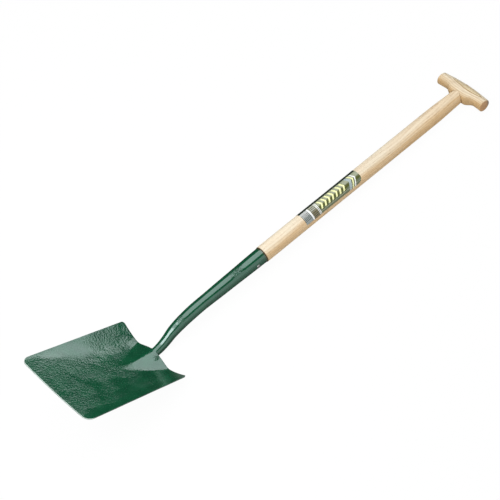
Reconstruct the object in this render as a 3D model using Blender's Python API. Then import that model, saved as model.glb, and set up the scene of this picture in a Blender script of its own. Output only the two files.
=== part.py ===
"""A square-mouth shovel lying on its back: forged head, ash shaft, T grip, wedge, rivet and label.

Metres, +Z up. The head is drawn in the blade's own frame: x runs from the mouth to the shoulder,
y across, z up out of the hollow side, with z = 0 on the straight side edges. Everything on the
shaft is drawn along the shaft's axis, and an empty then lays the whole shovel on its heel and grip.
"""

import math

import bmesh
import bpy
import numpy as np
from mathutils import Matrix

# Clearances
clearance = 0.0003
hole_clearance = 0.0003

# Blade
blade_length = 0.2654
mouth_width = 0.2207
shoulder_width = 0.2082
plate_thickness = 0.0024
mouth_bow = 0.0015
mouth_corner_radius = 0.017
shoulder_corner_radius = 0.007
mouth_dish = 0.002
shoulder_dish = 0.026
dish_exponent = 2.3

# Raised boss between the blade and the neck
boss_length = 0.077
boss_end_height = -0.005
boss_side_slope = 0.38
boss_crest_radius = 0.006
boss_blend = 0.005

# Shaft line, measured from the point where it crosses the shoulder
shaft_angle = math.radians(24.63)
shaft_line_height = 0.0183
rim_distance = 0.3002
grip_distance = 0.9128

# Tongue that the neck sends forward under the boss
tongue_length = 0.058
tongue_tip_radius = 0.0012
crest_cover = 0.0015

# Neck: a low curve from its root to its middle, and a high one from there into the socket
neck_root_setback = 0.0035
neck_root_half_width = 0.0102
neck_root_half_height = 0.0095
neck_root_slope = 0.25
neck_root_pull = 0.045
neck_middle_ahead = 0.0412
neck_middle_rise = 0.0329
neck_middle_radius = 0.0117
neck_middle_slope = math.radians(53)
neck_middle_low_pull = 0.060
neck_middle_high_pull = 0.075
neck_end_distance = 0.130
neck_end_radius = 0.0144
neck_end_pull = 0.085
neck_swell_exponent = 2.5

# Socket
socket_rim_radius = 0.0181
socket_wall = 0.0019
socket_depth = 0.130
socket_bottom_radius = 0.0131

# Shaft
shaft_radius = 0.0190
shaft_waist_radius = 0.0187
shaft_top_radius = 0.0160
shaft_taper_length = 0.100
shaft_edge_round = 0.0012
shaft_foot_chamfer = 0.002
shaft_shoulder_lead = 0.004
tenon_radius = 0.0085

# Grip
grip_half_length = 0.0665
grip_end_radius = 0.0140
grip_end_round = 0.0025
grip_centre_top = 0.0210
grip_end_top = 0.0165
grip_centre_bottom = 0.0205
grip_waist_bottom = 0.0113
grip_centre_half_width = 0.0185
grip_boss_half_length = 0.0185
grip_waist_distance = 0.0400
grip_curve_exponent = 1.5
facet_angle = math.radians(52)
facet_depth = 0.0032

# Wedge
wedge_thickness = 0.0030
wedge_depth = 0.026

# Rivet
rivet_setback = 0.0250
rivet_pin_radius = 0.0025
rivet_head_radius = 0.0042
rivet_head_height = 0.0014
rivet_dome_angle = math.radians(75)

# Label
label_setback = 0.1173
label_length = 0.1665
label_thickness = 0.0003
label_start_angle = math.radians(8)
label_sweep = math.radians(156)
label_corner_radius = 0.012

# Facets
blade_rows = 22
blade_half_columns = 10
corner_steps = 4
round_sides = 28
rivet_sides = 20
neck_rings = 14
tongue_rings = 6
taper_rings = 6
label_columns = 18
label_rows = 4
sharp_angle = math.radians(35)
slope_step = 0.0005
resting_rounds = 12
block_faces = [(0, 1, 3, 2), (4, 5, 7, 6), (0, 1, 5, 4), (2, 3, 7, 6), (0, 2, 6, 4), (1, 3, 7, 5)]


def smooth_max(first, second, blend):
    """The larger of two heights, with the corner between them rounded over the blend."""
    share = np.clip(0.5 + 0.5 * (first - second) / blend, 0.0, 1.0)
    return second * (1 - share) + first * share + blend * share * (1 - share)


def smooth_step(value):
    """Goes from 0 to 1 with level ends."""
    value = np.clip(value, 0.0, 1.0)
    return value * value * (3 - 2 * value)


def half_width(along):
    """Half of the blade's width at a distance from the mouth."""
    return 0.5 * (mouth_width + (shoulder_width - mouth_width) * along / blade_length)


def dish_depth(along):
    """How far the blade's middle lies below its side edges."""
    return mouth_dish + (shoulder_dish - mouth_dish) * along / blade_length


def crest_height(along):
    """Height of the boss's crest, which runs down into the blade's floor at the boss's tip."""
    tip_height = -dish_depth(blade_length - boss_length)
    return boss_end_height + (boss_end_height - tip_height) * (along - blade_length) / boss_length


def front_height(along, across):
    """Height of the blade's hollow side: a dish, and the boss's two slopes where they stand above it."""
    share = np.abs(across) / half_width(along)
    dish = -dish_depth(along) * (1 - share**dish_exponent)
    fall = np.sqrt(across**2 + boss_crest_radius**2) - boss_crest_radius
    return smooth_max(dish, crest_height(along) - boss_side_slope * fall, boss_blend)


def column_positions():
    """Distances from the blade's middle line to its columns, close together round the corners."""
    straight = 0.5 * mouth_width - mouth_corner_radius
    turn = np.linspace(0, math.pi / 2, corner_steps + 1)[1:]
    half = np.concatenate(
        [
            np.linspace(0, straight, blade_half_columns + 1),
            straight + mouth_corner_radius * np.sin(turn),
        ]
    )
    return np.concatenate([-half[:0:-1], half])


def corner_inset(across, half, radius):
    """How far a round corner draws the end of a column back from the blade's end."""
    inside = np.clip(np.abs(across) - (half - radius), 0, radius)
    return radius - np.sqrt(radius**2 - inside**2)


def blade_sheets():
    """The hollow side and the back of the blade, each as rows from mouth to shoulder."""
    columns = column_positions()
    half = 0.5 * mouth_width
    share = columns / half
    start = mouth_bow * share**2 + corner_inset(columns, half, mouth_corner_radius)
    end_half = 0.5 * shoulder_width
    end = blade_length - corner_inset(share * end_half, end_half, shoulder_corner_radius)
    step = np.linspace(0, 1, blade_rows + 1)[:, None]
    along = start + (end - start) * step
    across = share * half_width(along)
    front = np.stack([along, across, front_height(along, across)], axis=-1)
    slope_along = (front_height(along + slope_step, across) - front[..., 2]) / slope_step
    slope_across = (front_height(along, across + slope_step) - front[..., 2]) / slope_step
    back = front.copy()
    back[..., 2] -= plate_thickness * np.sqrt(1 + slope_along**2 + slope_across**2)
    return front, back


def heading(slope):
    """The direction, as length and height, that climbs at a slope."""
    return np.array([math.cos(slope), math.sin(slope)])


def shaft_point(distance):
    """A point of the shaft's line in the blade frame, as length and height."""
    return np.array([blade_length, shaft_line_height]) + distance * heading(shaft_angle)


def hermite(first, first_way, last, last_way, count):
    """Points and directions of a smooth curve between two points with given end directions."""
    t = np.linspace(0, 1, count)[:, None]
    points = (
        (2 * t**3 - 3 * t**2 + 1) * first
        + (t**3 - 2 * t**2 + t) * first_way
        + (3 * t**2 - 2 * t**3) * last
        + (t**3 - t**2) * last_way
    )
    ways = (
        (6 * t**2 - 6 * t) * (first - last)
        + (3 * t**2 - 4 * t + 1) * first_way
        + (3 * t**2 - 2 * t) * last_way
    )
    return points, ways


def neck_path():
    """Centres, directions and half sizes of the neck's sections, from the boss up to the socket."""
    root_crest = crest_height(blade_length)
    root = np.array([blade_length - neck_root_setback, root_crest - neck_root_half_height - crest_cover])
    middle = root + np.array([neck_middle_ahead, neck_middle_rise])
    end = shaft_point(neck_end_distance)
    root_way = heading(neck_root_slope) * neck_root_pull
    rise = heading(neck_middle_slope)
    end_way = heading(shaft_angle) * neck_end_pull
    low, low_ways = hermite(root, root_way, middle, rise * neck_middle_low_pull, neck_rings // 2)
    high, high_ways = hermite(middle, rise * neck_middle_high_pull, end, end_way, neck_rings // 2 + 1)
    centres = np.concatenate([low, high[1:]])
    ways = np.concatenate([low_ways, high_ways[1:]])
    share = np.linspace(0, 1, len(low))
    wide_low = neck_root_half_width + (neck_middle_radius - neck_root_half_width) * share**2
    tall_low = neck_root_half_height + (neck_middle_radius - neck_root_half_height) * share
    swell = 1 - (1 - np.linspace(0, 1, len(high))[1:]) ** neck_swell_exponent
    high_radius = neck_middle_radius + (neck_end_radius - neck_middle_radius) * swell
    return (
        centres,
        ways,
        np.concatenate([wide_low, high_radius]),
        np.concatenate([tall_low, high_radius]),
    )


def tongue_path():
    """Sections of the tongue that the neck sends forward under the boss."""
    share = np.linspace(0, 1, tongue_rings + 1)[:-1]
    centres, ways, wide, tall = neck_path()
    along = centres[0, 0] - tongue_length * (1 - share)
    thickness = tongue_tip_radius + (tall[0] - tongue_tip_radius) * smooth_step(share)
    width = tongue_tip_radius * 2 + (wide[0] - tongue_tip_radius * 2) * smooth_step(share)
    crest = crest_height(along) - crest_cover
    return np.stack([along, crest - thickness], axis=1), width, thickness


def section_rings(centres, ways, wide, tall, sides):
    """Elliptic rings square to a path that lies in the plane y = 0."""
    turn = np.arange(sides) * (2 * math.pi / sides)
    ways = ways / np.linalg.norm(ways, axis=1)[:, None]
    up = np.stack([-ways[:, 1], ways[:, 0]], axis=1)
    rise = tall[:, None] * np.sin(turn)
    along = centres[:, :1] + up[:, :1] * rise
    height = centres[:, 1:] + up[:, 1:] * rise
    across = wide[:, None] * np.cos(turn)
    return np.stack([along, across, height], axis=-1)


def neck_and_socket_rings():
    """Rings from the tongue's tip over the neck to the socket's rim, then down inside the socket."""
    centres, ways, wide, tall = neck_path()
    tongue, tongue_wide, tongue_tall = tongue_path()
    tongue_ways = np.gradient(np.concatenate([tongue, centres[:1]]), axis=0)[:-1]
    cavity = rim_distance - socket_depth
    line = [rim_distance, rim_distance, cavity]
    radii = [socket_rim_radius, socket_rim_radius - socket_wall, socket_bottom_radius]
    line_centres = np.array([shaft_point(distance) for distance in line])
    line_ways = np.tile(heading(shaft_angle), (len(line), 1))
    return section_rings(
        np.concatenate([tongue, centres, line_centres]),
        np.concatenate([tongue_ways, ways, line_ways]),
        np.concatenate([tongue_wide, wide, radii]),
        np.concatenate([tongue_tall, tall, radii]),
        round_sides,
    )


def grip_profile(along):
    """Top, bottom and side radii of the grip at a distance from its middle."""
    distance = np.abs(along)
    rounding = (distance / grip_half_length) ** grip_curve_exponent
    top = grip_centre_top + (grip_end_top - grip_centre_top) * rounding
    fall = smooth_step((distance - grip_boss_half_length) / (grip_waist_distance - grip_boss_half_length))
    flare = np.clip((distance - grip_waist_distance) / (grip_half_length - grip_waist_distance), 0, 1)
    bottom = grip_centre_bottom + (grip_waist_bottom - grip_centre_bottom) * fall
    bottom = bottom + (grip_end_radius - grip_waist_bottom) * flare**grip_curve_exponent
    swell = 1 - smooth_step(distance / grip_half_length)
    side = grip_end_radius + (grip_centre_half_width - grip_end_radius) * swell
    return top, bottom, side


def grip_top_height(across):
    """Height of the grip's crown over the shaft's axis, at a distance in front of or behind it."""
    return grip_centre_top * np.sqrt(1 - (across / grip_centre_half_width) ** 2)


def grip_under_height(across):
    """Depth of the grip's underside where the shaft's shoulder meets it."""
    return grip_centre_bottom * np.sqrt(1 - (across / grip_centre_half_width) ** 2)


def grip_rings():
    """Rings along the grip from one end face to the other; x is up the shaft and z is to the front."""
    turn = np.arange(round_sides) * (2 * math.pi / round_sides)
    bend = np.linspace(0, math.pi / 2, corner_steps)
    inner = grip_half_length - grip_end_round
    half = np.concatenate(
        [
            np.linspace(0, grip_boss_half_length, 3),
            np.linspace(grip_boss_half_length, grip_waist_distance, 6)[1:],
            np.linspace(grip_waist_distance, inner, 4)[1:],
            inner + grip_end_round * np.sin(bend[1:]),
        ]
    )
    shrink = np.concatenate([np.zeros(len(half) - len(bend) + 1), grip_end_round * (1 - np.cos(bend[1:]))])
    stations = np.concatenate([-half[:0:-1], half])
    shrink = np.concatenate([shrink[:0:-1], shrink])
    top, bottom, side = grip_profile(stations)
    rise = np.where(np.cos(turn) >= 0, top[:, None], bottom[:, None]) - shrink[:, None]
    x = rise * np.cos(turn)
    z = (side - shrink)[:, None] * np.sin(turn)
    y = np.tile(stations[:, None], (1, round_sides))
    return np.stack([x, y, z], axis=-1)


def shaft_wood_radius(distance):
    """Radius of the bare shaft at a distance beyond the socket's rim."""
    bare = grip_distance - rim_distance
    start = bare - shaft_taper_length
    share = smooth_step((distance - start) / shaft_taper_length)
    straight = shaft_radius + (shaft_waist_radius - shaft_radius) * distance / bare
    return straight + (shaft_top_radius - straight) * share


def shaft_rings():
    """Rings of the shaft from its tapered foot to the end of its tenon; x is measured from the rim."""
    turn = np.arange(round_sides) * (2 * math.pi / round_sides)
    foot_radius = socket_bottom_radius - clearance
    neck_radius = socket_rim_radius - socket_wall - clearance
    bare = grip_distance - rim_distance
    foot = clearance - socket_depth
    taper = bare - shaft_taper_length
    shoulder_start = bare - grip_centre_bottom - shaft_shoulder_lead
    straight_places = np.linspace(0, taper, 4)[1:]
    taper_places = np.linspace(taper, shoulder_start, taper_rings + 1)[1:]
    above = np.concatenate([straight_places, taper_places])
    in_socket = [foot, foot + shaft_foot_chamfer, clearance, clearance, clearance + shaft_edge_round]
    socket_radii = [foot_radius - shaft_foot_chamfer, foot_radius, neck_radius]
    edge_radii = [shaft_radius - shaft_edge_round, shaft_radius]
    places = np.concatenate([in_socket, above])
    radii = np.concatenate([socket_radii, edge_radii, shaft_wood_radius(above)])
    body = np.stack(
        [
            np.tile(places[:, None], (1, round_sides)),
            radii[:, None] * np.cos(turn),
            radii[:, None] * np.sin(turn),
        ],
        axis=-1,
    )
    shoulder = []
    for radius in np.linspace(shaft_top_radius, tenon_radius, 4):
        depth = grip_under_height(radius * np.sin(turn)) + clearance
        shoulder.append(np.stack([bare - depth, radius * np.cos(turn), radius * np.sin(turn)], axis=-1))
    for radius in (tenon_radius, tenon_radius * 0.6, tenon_radius * 0.2):
        height = grip_top_height(radius * np.sin(turn))
        shoulder.append(np.stack([bare + height, radius * np.cos(turn), radius * np.sin(turn)], axis=-1))
    return np.concatenate([body, np.array(shoulder)])


def wedge_points():
    """Outline of the wedge seen along the grip: a flush curved top and a blunt foot."""
    half = tenon_radius - 2 * clearance
    across = np.linspace(-half, half, 9)
    bare = grip_distance - rim_distance
    top = np.stack([bare + grip_top_height(across), across], axis=1)
    foot = bare + grip_centre_top - wedge_depth
    return np.concatenate([top, [[foot, half], [foot, -half]]])


def label_sheets():
    """The inner and outer faces of the label, as rows along the shaft."""
    round_share = np.linspace(0, 1, label_columns + 1)
    angles = label_start_angle + label_sweep * round_share
    from_edge = shaft_radius * label_sweep * np.minimum(round_share, 1 - round_share)
    inside = np.clip(label_corner_radius - from_edge, 0, label_corner_radius)
    drawn = label_corner_radius - np.sqrt(label_corner_radius**2 - inside**2)
    share = np.linspace(0, 1, label_rows + 1)[:, None]
    along = label_setback + share * (label_length - drawn)
    inner = shaft_wood_radius(along) + clearance
    sheets = []
    for radius in (inner + label_thickness, inner):
        sheets.append(np.stack([along, radius * np.cos(angles), radius * np.sin(angles)], axis=-1))
    return sheets


def material(name, colour, roughness, metallic):
    """A plain material with a colour, a roughness and a metallic value."""
    made = bpy.data.materials.new(name)
    made.use_nodes = True
    shader = made.node_tree.nodes["Principled BSDF"]
    shader.inputs["Base Color"].default_value = (*colour, 1)
    shader.inputs["Roughness"].default_value = roughness
    shader.inputs["Metallic"].default_value = metallic
    made.diffuse_color = (*colour, 1)
    return made


def mesh_object(name, points, faces, finish, parent):
    """An object from points and faces, turned outward, in triangles, with its round parts smooth."""
    mesh = bpy.data.meshes.new(name)
    mesh.from_pydata([tuple(point) for point in points], [], faces)
    shape = bmesh.new()
    shape.from_mesh(mesh)
    bmesh.ops.recalc_face_normals(shape, faces=shape.faces)
    bmesh.ops.triangulate(shape, faces=shape.faces)
    shape.to_mesh(mesh)
    shape.free()
    mesh.shade_smooth()
    mesh.set_sharp_from_angle(angle=sharp_angle)
    if finish:
        mesh.materials.append(finish)
    made = bpy.data.objects.new(name, mesh)
    bpy.context.scene.collection.objects.link(made)
    made.parent = parent
    return made


def strip_faces(rows, columns, around):
    """Quads between neighbouring rows of a grid, closed round its columns when asked."""
    faces = []
    for row in range(rows - 1):
        for column in range(columns if around else columns - 1):
            following = (column + 1) % columns
            start = row * columns
            faces.append(
                (start + column, start + following, start + columns + following, start + columns + column)
            )
    return faces


def tube_object(name, rings, finish, parent):
    """A closed body through a stack of rings, with a flat face on each end."""
    count, sides = rings.shape[:2]
    faces = strip_faces(count, sides, True)
    faces.append(tuple(range(sides)))
    faces.append(tuple(range((count - 1) * sides, count * sides)))
    return mesh_object(name, rings.reshape(-1, 3), faces, finish, parent)


def sheet_object(name, upper, lower, finish, parent):
    """A closed body between two sheets of the same grid."""
    rows, columns = upper.shape[:2]
    size = rows * columns
    faces = strip_faces(rows, columns, False)
    faces += [tuple(size + corner for corner in face) for face in faces]
    edge = [(0, column) for column in range(columns)]
    edge += [(row, columns - 1) for row in range(1, rows)]
    edge += [(rows - 1, column) for column in range(columns - 2, -1, -1)]
    edge += [(row, 0) for row in range(rows - 2, 0, -1)]
    border = [row * columns + column for row, column in edge]
    for place, corner in enumerate(border):
        following = border[(place + 1) % len(border)]
        faces.append((corner, following, size + following, size + corner))
    points = np.concatenate([upper.reshape(-1, 3), lower.reshape(-1, 3)])
    return mesh_object(name, points, faces, finish, parent)


def rod_points(radius, half_length, sides):
    """Two rings of a rod along y."""
    turn = np.arange(sides) * (2 * math.pi / sides)
    ring = np.stack([radius * np.cos(turn), np.zeros(sides), radius * np.sin(turn)], axis=1)
    return np.stack([ring - [0, half_length, 0], ring + [0, half_length, 0]])


def hide(helper):
    """Keeps a cutter or a joined shape out of the finished shovel."""
    helper.hide_render = True
    helper.display_type = "WIRE"


def cut(target, helper, operation):
    """Adds a helper to a target, or takes it away."""
    hide(helper)
    modifier = target.modifiers.new(helper.name, "BOOLEAN")
    modifier.operation = operation
    modifier.object = helper
    modifier.solver = "EXACT"


def make_head(paint, blade_frame, rivet_place):
    """The forged head: blade, boss, neck and socket in one piece, with the rivet's hole."""
    front, back = blade_sheets()
    head = sheet_object("forged_head", front, back, paint, blade_frame)
    neck = tube_object("neck_and_socket", neck_and_socket_rings(), paint, blade_frame)
    cut(head, neck, "UNION")
    hole = rod_points(rivet_pin_radius + hole_clearance, socket_rim_radius * 2, rivet_sides)
    cut(head, tube_object("head_rivet_hole", hole, None, rivet_place), "DIFFERENCE")
    rings = neck_and_socket_rings()
    return np.concatenate([front.reshape(-1, 3), back.reshape(-1, 3), rings.reshape(-1, 3)])


def make_shaft(wood, shaft_frame, rivet_place):
    """The ash shaft: tapered foot, long round body, coped shoulder and a slotted tenon."""
    shaft = tube_object("ash_shaft", shaft_rings(), wood, shaft_frame)
    hole = rod_points(rivet_pin_radius + hole_clearance, socket_rim_radius * 2, rivet_sides)
    cut(shaft, tube_object("shaft_rivet_hole", hole, None, rivet_place), "DIFFERENCE")
    bare = grip_distance - rim_distance
    half = wedge_thickness / 2 + clearance
    low = bare + grip_centre_top - wedge_depth - clearance
    high = bare + grip_centre_top * 2
    wide = tenon_radius * 2
    corners = [(x, y, z) for x in (low, high) for y in (-half, half) for z in (-wide, wide)]
    cut(shaft, mesh_object("tenon_slot", corners, block_faces, None, shaft_frame), "DIFFERENCE")
    return shaft


def make_grip(wood, grip_frame):
    """The T grip: a swelling crosspiece, bored for the tenon."""
    grip = tube_object("t_grip", grip_rings(), wood, grip_frame)
    turn = np.arange(round_sides) * (2 * math.pi / round_sides)
    radius = tenon_radius + clearance
    ring = np.stack([np.zeros(round_sides), radius * np.cos(turn), radius * np.sin(turn)], axis=1)
    reach = np.array([grip_centre_top * 2, 0, 0])
    hole = tube_object("tenon_hole", np.stack([ring - reach, ring + reach]), None, grip_frame)
    cut(grip, hole, "DIFFERENCE")
    return grip


def plane_facet(grip_frame, pieces):
    """Planes one long facet on the upper front of the grip, through the tenon's end as well."""
    normal = np.array([math.cos(facet_angle), 0, math.sin(facet_angle)])
    across = np.array([-normal[2], 0, normal[0]])
    level = (grip_rings().reshape(-1, 3) @ normal).max() - facet_depth
    size = grip_centre_top * 1.5
    corners = []
    for depth in (level, level + size):
        for side in (-grip_half_length * 2, grip_half_length * 2):
            for reach in (-size, size):
                corners.append(normal * depth + across * reach + np.array([0, side, 0]))
    plane = mesh_object("facet_plane", corners, block_faces, None, grip_frame)
    for piece in pieces:
        cut(piece, plane, "DIFFERENCE")


def make_wedge(wood, shaft_frame):
    """The wedge that spreads the tenon in the grip."""
    outline = wedge_points()
    sides = len(outline)
    rings = []
    for y in (-wedge_thickness / 2, wedge_thickness / 2):
        rings.append(np.stack([outline[:, 0], np.full(sides, y), outline[:, 1]], axis=1))
    return tube_object("tenon_wedge", np.stack(rings), wood, shaft_frame)


def make_rivet(steel, rivet_place):
    """A pin through socket and shaft with a low round head on each side."""
    share = (rim_distance - rivet_setback - neck_end_distance) / (rim_distance - neck_end_distance)
    seat = neck_end_radius + (socket_rim_radius - neck_end_radius) * share + clearance
    bend = np.linspace(0, rivet_dome_angle, corner_steps)
    dome = rivet_head_radius * np.cos(bend)
    rise = seat + rivet_head_height * np.sin(bend) / math.sin(rivet_dome_angle)
    half_radii = np.concatenate([[rivet_pin_radius], dome])
    half_places = np.concatenate([[seat], rise])
    radii = np.concatenate([half_radii[::-1], half_radii])
    places = np.concatenate([-half_places[::-1], half_places])
    turn = np.arange(rivet_sides) * (2 * math.pi / rivet_sides)
    rings = np.stack(
        [
            radii[:, None] * np.cos(turn),
            np.tile(places[:, None], (1, rivet_sides)),
            radii[:, None] * np.sin(turn),
        ],
        axis=-1,
    )
    return tube_object("socket_rivet", rings, steel, rivet_place)


def empty(name, parent):
    """A frame without a shape of its own."""
    made = bpy.data.objects.new(name, None)
    bpy.context.scene.collection.objects.link(made)
    made.parent = parent
    return made


def rest_on_floor(blade_frame, head_points, grip_points):
    """Lays the shovel on its heel and grip, with the floor at z = 0 and the middle of its box at x = 0."""
    head = head_points[:, [0, 2]]
    grip = grip_points[:, [0, 2]]
    angle = shaft_angle
    for _ in range(resting_rounds):
        down = np.array([-math.sin(angle), math.cos(angle)])
        low_head = head[np.argmin(head @ down)]
        low_grip = grip[np.argmin(grip @ down)]
        gap = low_grip - low_head
        angle = math.atan2(gap[1], gap[0])
    ahead = np.array([math.cos(angle), math.sin(angle)])
    down = np.array([-math.sin(angle), math.cos(angle)])
    both = np.concatenate([head, grip])
    middle = ((both @ ahead).min() + (both @ ahead).max()) / 2
    floor = (both @ down).min()
    blade_frame.matrix_world = Matrix.Translation((-middle, 0, -floor)) @ Matrix.Rotation(angle, 4, "Y")


def main():
    for thing in list(bpy.data.objects):
        bpy.data.objects.remove(thing, do_unlink=True)
    paint = material("green_paint", (0.02, 0.13, 0.07), 0.3, 0.0)
    ash = material("ash_wood", (0.72, 0.56, 0.36), 0.5, 0.0)
    pale_ash = material("grip_ash_wood", (0.76, 0.6, 0.4), 0.5, 0.0)
    steel = material("bare_steel", (0.55, 0.56, 0.55), 0.35, 1.0)
    print_film = material("printed_film", (0.16, 0.18, 0.1), 0.45, 0.0)

    blade_frame = empty("blade_frame", None)
    shaft_frame = empty("shaft_frame", blade_frame)
    rim = shaft_point(rim_distance)
    shaft_frame.matrix_local = Matrix.Translation((rim[0], 0, rim[1])) @ Matrix.Rotation(-shaft_angle, 4, "Y")
    grip_frame = empty("grip_frame", shaft_frame)
    grip_frame.location = (grip_distance - rim_distance, 0, 0)
    rivet_place = empty("rivet_place", shaft_frame)
    rivet_place.location = (-rivet_setback, 0, 0)

    head_points = make_head(paint, blade_frame, rivet_place)
    shaft = make_shaft(ash, shaft_frame, rivet_place)
    grip = make_grip(pale_ash, grip_frame)
    wedge = make_wedge(ash, shaft_frame)
    plane_facet(grip_frame, [grip, shaft, wedge])
    make_rivet(steel, rivet_place)
    outer, inner = label_sheets()
    sheet_object("label", outer, inner, print_film, shaft_frame)

    bpy.context.view_layer.update()
    to_blade = blade_frame.matrix_world.inverted() @ grip_frame.matrix_world
    turned = grip_rings().reshape(-1, 3) @ np.array(to_blade.to_3x3()).T + np.array(to_blade.translation)
    rest_on_floor(blade_frame, head_points, turned)


main()
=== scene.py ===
# %% [markdown]
# # A square-mouth shovel
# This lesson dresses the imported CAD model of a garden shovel: a green forged head, an ash shaft,
# a wooden T grip with its wedge, a rivet and a printed label. The CAD bodies give the places and
# the sizes. Here each of them but the wedge gets a finer surface, worked out with numpy from the
# same measurements, and all get a finish made from nodes. It ends with a pale floor, five soft
# lamps and the camera.

import math

import bpy
import numpy as np
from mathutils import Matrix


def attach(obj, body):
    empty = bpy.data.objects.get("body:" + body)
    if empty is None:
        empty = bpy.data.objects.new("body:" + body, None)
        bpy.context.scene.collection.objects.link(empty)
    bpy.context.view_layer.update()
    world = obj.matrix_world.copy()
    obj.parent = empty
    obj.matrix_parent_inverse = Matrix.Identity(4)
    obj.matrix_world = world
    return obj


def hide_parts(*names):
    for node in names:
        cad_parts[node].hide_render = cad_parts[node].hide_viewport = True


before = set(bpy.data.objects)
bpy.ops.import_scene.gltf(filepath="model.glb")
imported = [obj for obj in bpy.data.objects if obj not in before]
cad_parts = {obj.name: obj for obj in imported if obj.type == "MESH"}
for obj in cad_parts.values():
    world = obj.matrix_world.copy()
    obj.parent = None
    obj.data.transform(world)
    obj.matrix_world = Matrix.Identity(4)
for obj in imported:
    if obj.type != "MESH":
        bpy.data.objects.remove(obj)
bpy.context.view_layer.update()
print("CAD nodes:", sorted(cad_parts))

# %% [markdown]
# ## Two frames to draw in
# A shovel is awkward to draw where it lies, because the blade and the shaft are both tilted. The
# smith's own way is easier: draw the blade flat, x from the mouth to the shoulder, y across and z
# up out of the hollow side, and draw everything on the shaft along the shaft. Both frames only
# turn about the Y axis, so an angle and a starting point describe each of them. The lay, which
# rests the shovel on its heel and its grip, is the CAD model's.

# %% Frames of the blade and of the shaft
blade_length = 0.2654
shaft_angle = math.radians(24.63)
shaft_line_height = 0.0183
rim_distance = 0.3002
grip_distance = 0.9128
lay_angle = math.radians(25.97965)
lay_origin = np.array([-0.589103, 0.0, 0.139803])


def heading(slope):
    """The unit direction (cos, sin) that climbs at a slope."""
    return np.array([math.cos(slope), math.sin(slope)])


def turned(points, angle, origin):
    """Points turned about Y by an angle, x' = x cos + z sin and z' = z cos - x sin, then moved."""
    x, y, z = np.moveaxis(np.asarray(points, float), -1, 0)
    cos, sin = math.cos(angle), math.sin(angle)
    return np.stack([x * cos + z * sin, y, z * cos - x * sin], axis=-1) + origin


def shaft_point(distance):
    """Points of the shaft's line in the blade frame, as length and height: start + distance way."""
    start = np.array([blade_length, shaft_line_height])
    return start + np.asarray(distance)[..., None] * heading(shaft_angle)


def from_blade(points):
    """Blade-frame points where they lie in the world."""
    return turned(points, lay_angle, lay_origin)


rim_along, rim_height = shaft_point(rim_distance)
rim_place = from_blade([rim_along, 0.0, rim_height])
shaft_tilt = lay_angle - shaft_angle
bare_length = grip_distance - rim_distance


def from_shaft(points):
    """Shaft-frame points (x from the socket's rim towards the grip) where they lie in the world."""
    return turned(points, shaft_tilt, rim_place)


print("socket rim at", np.round(rim_place, 4))
print("shaft falls by", round(math.degrees(shaft_tilt), 2), "degrees")

# %% [markdown]
# ## From a grid of points to a piece
# Blender's own cubes and cylinders could be pulled into shape by hand, but then no size has a name.
# Every surface below is a grid instead: rows of points that are joined to the next row by quads. A
# tube closes on itself round its columns, and a sheet is two grids with a rim between them. The
# faces come from index arithmetic on whole arrays, so dense grids still build at once.

# %% Grids, tubes and sheets
def quads(rows, columns, around):
    """Corner numbers of a grid's quads; around joins the last column to the first."""
    row = np.arange(rows - 1)[:, None] * columns
    first = np.arange(columns if around else columns - 1)
    second = (first + 1) % columns
    corners = [row + first, row + second, row + columns + second, row + columns + first]
    return np.stack(corners, axis=-1).reshape(-1, 4)


def add_piece(name, points, faces):
    """A mesh object at the origin from world points and a list of faces, turned outward."""
    mesh = bpy.data.meshes.new(name)
    points = points.reshape(-1, 3)
    mesh.from_pydata(points.tolist(), [], faces)
    piece = bpy.data.objects.new(name, mesh)
    bpy.context.scene.collection.objects.link(piece)
    mesh.calc_loop_triangles()
    triangles = np.zeros(len(mesh.loop_triangles) * 3, int)
    mesh.loop_triangles.foreach_get("vertices", triangles)
    if np.linalg.det(points[triangles.reshape(-1, 3)]).sum() < 0:
        mesh.flip_normals()
    return piece


def tube(name, rings):
    """A closed body through a stack of rings, with a flat face on each end."""
    rows, sides = rings.shape[:2]
    ends = [list(range(sides))[::-1], list(range((rows - 1) * sides, rows * sides))]
    return add_piece(name, rings, quads(rows, sides, True).tolist() + ends)


def rim_numbers(rows, columns):
    """Numbers of a grid's border points, once round."""
    number = np.arange(rows * columns).reshape(rows, columns)
    return np.concatenate([number[0], number[1:, -1], number[-1, -2::-1], number[-2:0:-1, 0]])


def sheet(name, upper, lower):
    """A closed body between two grids of the same size, with a wall round their border."""
    rows, columns = upper.shape[:2]
    top = quads(rows, columns, False)
    rim = rim_numbers(rows, columns)
    after = np.roll(rim, -1)
    low = rows * columns
    wall = np.stack([rim, rim + low, after + low, after], axis=-1)
    faces = np.concatenate([top, top[:, ::-1] + low, wall])
    points = np.concatenate([upper.reshape(-1, 3), lower.reshape(-1, 3)])
    return add_piece(name, points, faces.tolist())


print("a grid of 3 by 4 points has", len(quads(3, 4, False)), "quads")

# %% Rings of a lathe
def full_turn(sides):
    """Evenly spaced angles, once round."""
    return np.arange(sides) * (2 * math.pi / sides)


def lathe(places, radii, sides):
    """Rings about the x axis: x = place, y = radius cos(turn) and z = radius sin(turn)."""
    turn = full_turn(sides)
    radii = np.reshape(radii, (-1, 1))
    places = np.reshape(places, (len(radii), -1))
    rings = np.broadcast_arrays(places, radii * np.cos(turn), radii * np.sin(turn))
    return np.stack(rings, axis=-1)


def crosswise(rings):
    """Rings about the x axis, laid about the y axis."""
    return rings[..., [1, 0, 2]]


print("a lathe's grid:", lathe([0, 1], [1, 1], 8).shape)

# %% [markdown]
# ## Joining, boring and planing
# The smith welds the neck to the blade, the joiner bores and planes. A Boolean modifier with the
# exact solver does each of these. Its result is then fixed as a plain mesh, so that later steps
# can read its points, and edges sharper than an angle are kept crisp while the rest turns smooth.

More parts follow.
